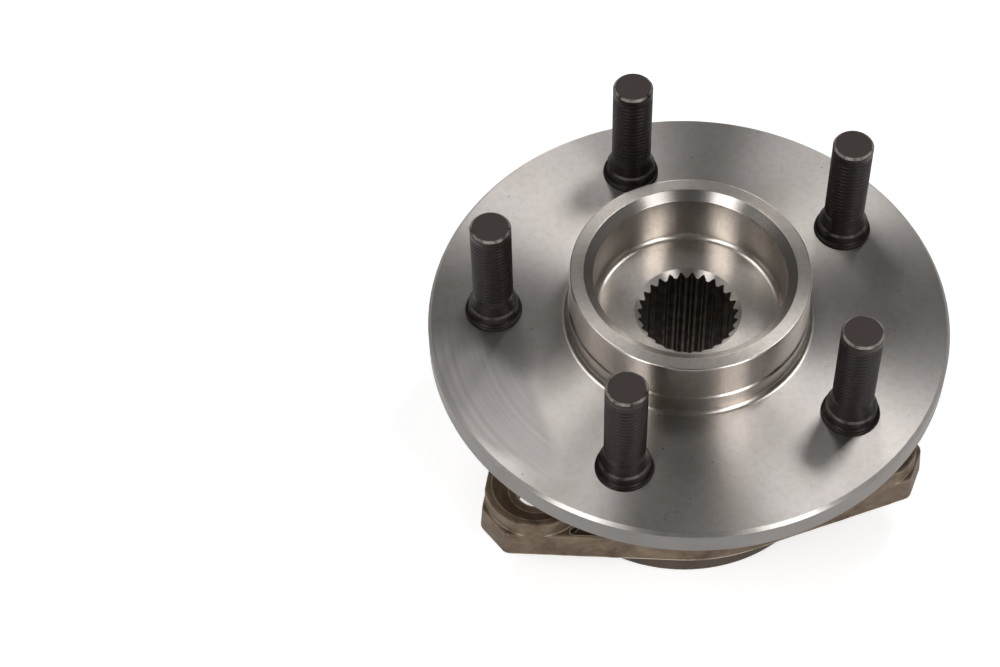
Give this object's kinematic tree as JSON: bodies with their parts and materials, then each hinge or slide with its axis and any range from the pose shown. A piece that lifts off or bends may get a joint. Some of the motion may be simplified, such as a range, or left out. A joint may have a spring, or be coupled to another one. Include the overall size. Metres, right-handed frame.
{
  "type": "wheel hub bearing",
  "caption": "Driven wheel hub bearing: studded flanged hub with pilot and splined bore, turning on ball rows in a lobed outer ring that bolts to the knuckle.",
  "frame": {"origin": "centre of the wheel's mounting face, on the axis of rotation", "axes": "+Z along the axis of rotation, out of the mounting face towards the wheel; -Z towards the knuckle and the drive shaft; one lobe of the knuckle flange points 6.3 degrees past +Y"},
  "size_m": [0.154, 0.154, 0.1088],
  "materials": {
    "turned_steel": "turned and lightly oiled",
    "phosphated_steel": "black phosphate",
    "forged_steel": "shot-blasted forging with turned bore and spigot",
    "bearing_steel": "ground and polished",
    "cage_polymer": "glass-filled polyamide",
    "seal_steel": "pressed sheet",
    "seal_rubber": "nitrile rubber",
    "encoder_rubber": "magnetic rubber"
  },
  "bodies": {
    "outer_ring_assembly": {"outer_ring": "forged_steel", "outboard_seal_case": "seal_steel", "outboard_seal_lip": "seal_rubber", "inboard_seal_case": "seal_steel", "inboard_seal_lip": "seal_rubber"},
    "hub_assembly": {"hub_flange": "turned_steel", "inner_ring": "bearing_steel", "inboard_slinger": "seal_steel", "encoder_ring": "encoder_rubber", "wheel_stud_1": "phosphated_steel", "wheel_stud_2": "phosphated_steel", "wheel_stud_3": "phosphated_steel", "wheel_stud_4": "phosphated_steel", "wheel_stud_5": "phosphated_steel"},
    "outboard_row": {"cage_outboard": "cage_polymer", "outboard_ball_1": "bearing_steel", "outboard_ball_2": "bearing_steel", "outboard_ball_3": "bearing_steel", "outboard_ball_4": "bearing_steel", "outboard_ball_5": "bearing_steel", "outboard_ball_6": "bearing_steel", "outboard_ball_7": "bearing_steel", "outboard_ball_8": "bearing_steel", "outboard_ball_9": "bearing_steel", "outboard_ball_10": "bearing_steel", "outboard_ball_11": "bearing_steel", "outboard_ball_12": "bearing_steel", "outboard_ball_13": "bearing_steel"},
    "inboard_row": {"cage_inboard": "cage_polymer", "inboard_ball_1": "bearing_steel", "inboard_ball_2": "bearing_steel", "inboard_ball_3": "bearing_steel", "inboard_ball_4": "bearing_steel", "inboard_ball_5": "bearing_steel", "inboard_ball_6": "bearing_steel", "inboard_ball_7": "bearing_steel", "inboard_ball_8": "bearing_steel", "inboard_ball_9": "bearing_steel", "inboard_ball_10": "bearing_steel", "inboard_ball_11": "bearing_steel", "inboard_ball_12": "bearing_steel", "inboard_ball_13": "bearing_steel"}
  },
  "joints": [
    {"name": "hub_spin", "type": "hinge", "parent": "outer_ring_assembly", "child": "hub_assembly", "pos_m": [0, 0, 0], "axis": [0, 0, 1], "continuous": true},
    {"name": "outboard_row_orbit", "type": "hinge", "parent": "outer_ring_assembly", "child": "outboard_row", "pos_m": [0, 0, -0.03], "axis": [0, 0, 1], "continuous": true},
    {"name": "inboard_row_orbit", "type": "hinge", "parent": "outer_ring_assembly", "child": "inboard_row", "pos_m": [0, 0, -0.0545], "axis": [0, 0, 1], "continuous": true}
  ],
  "couplings": [
    {"joint": "outboard_row_orbit", "follows": "hub_spin", "ratio": 0.4263},
    {"joint": "inboard_row_orbit", "follows": "hub_spin", "ratio": 0.4263}
  ]
}
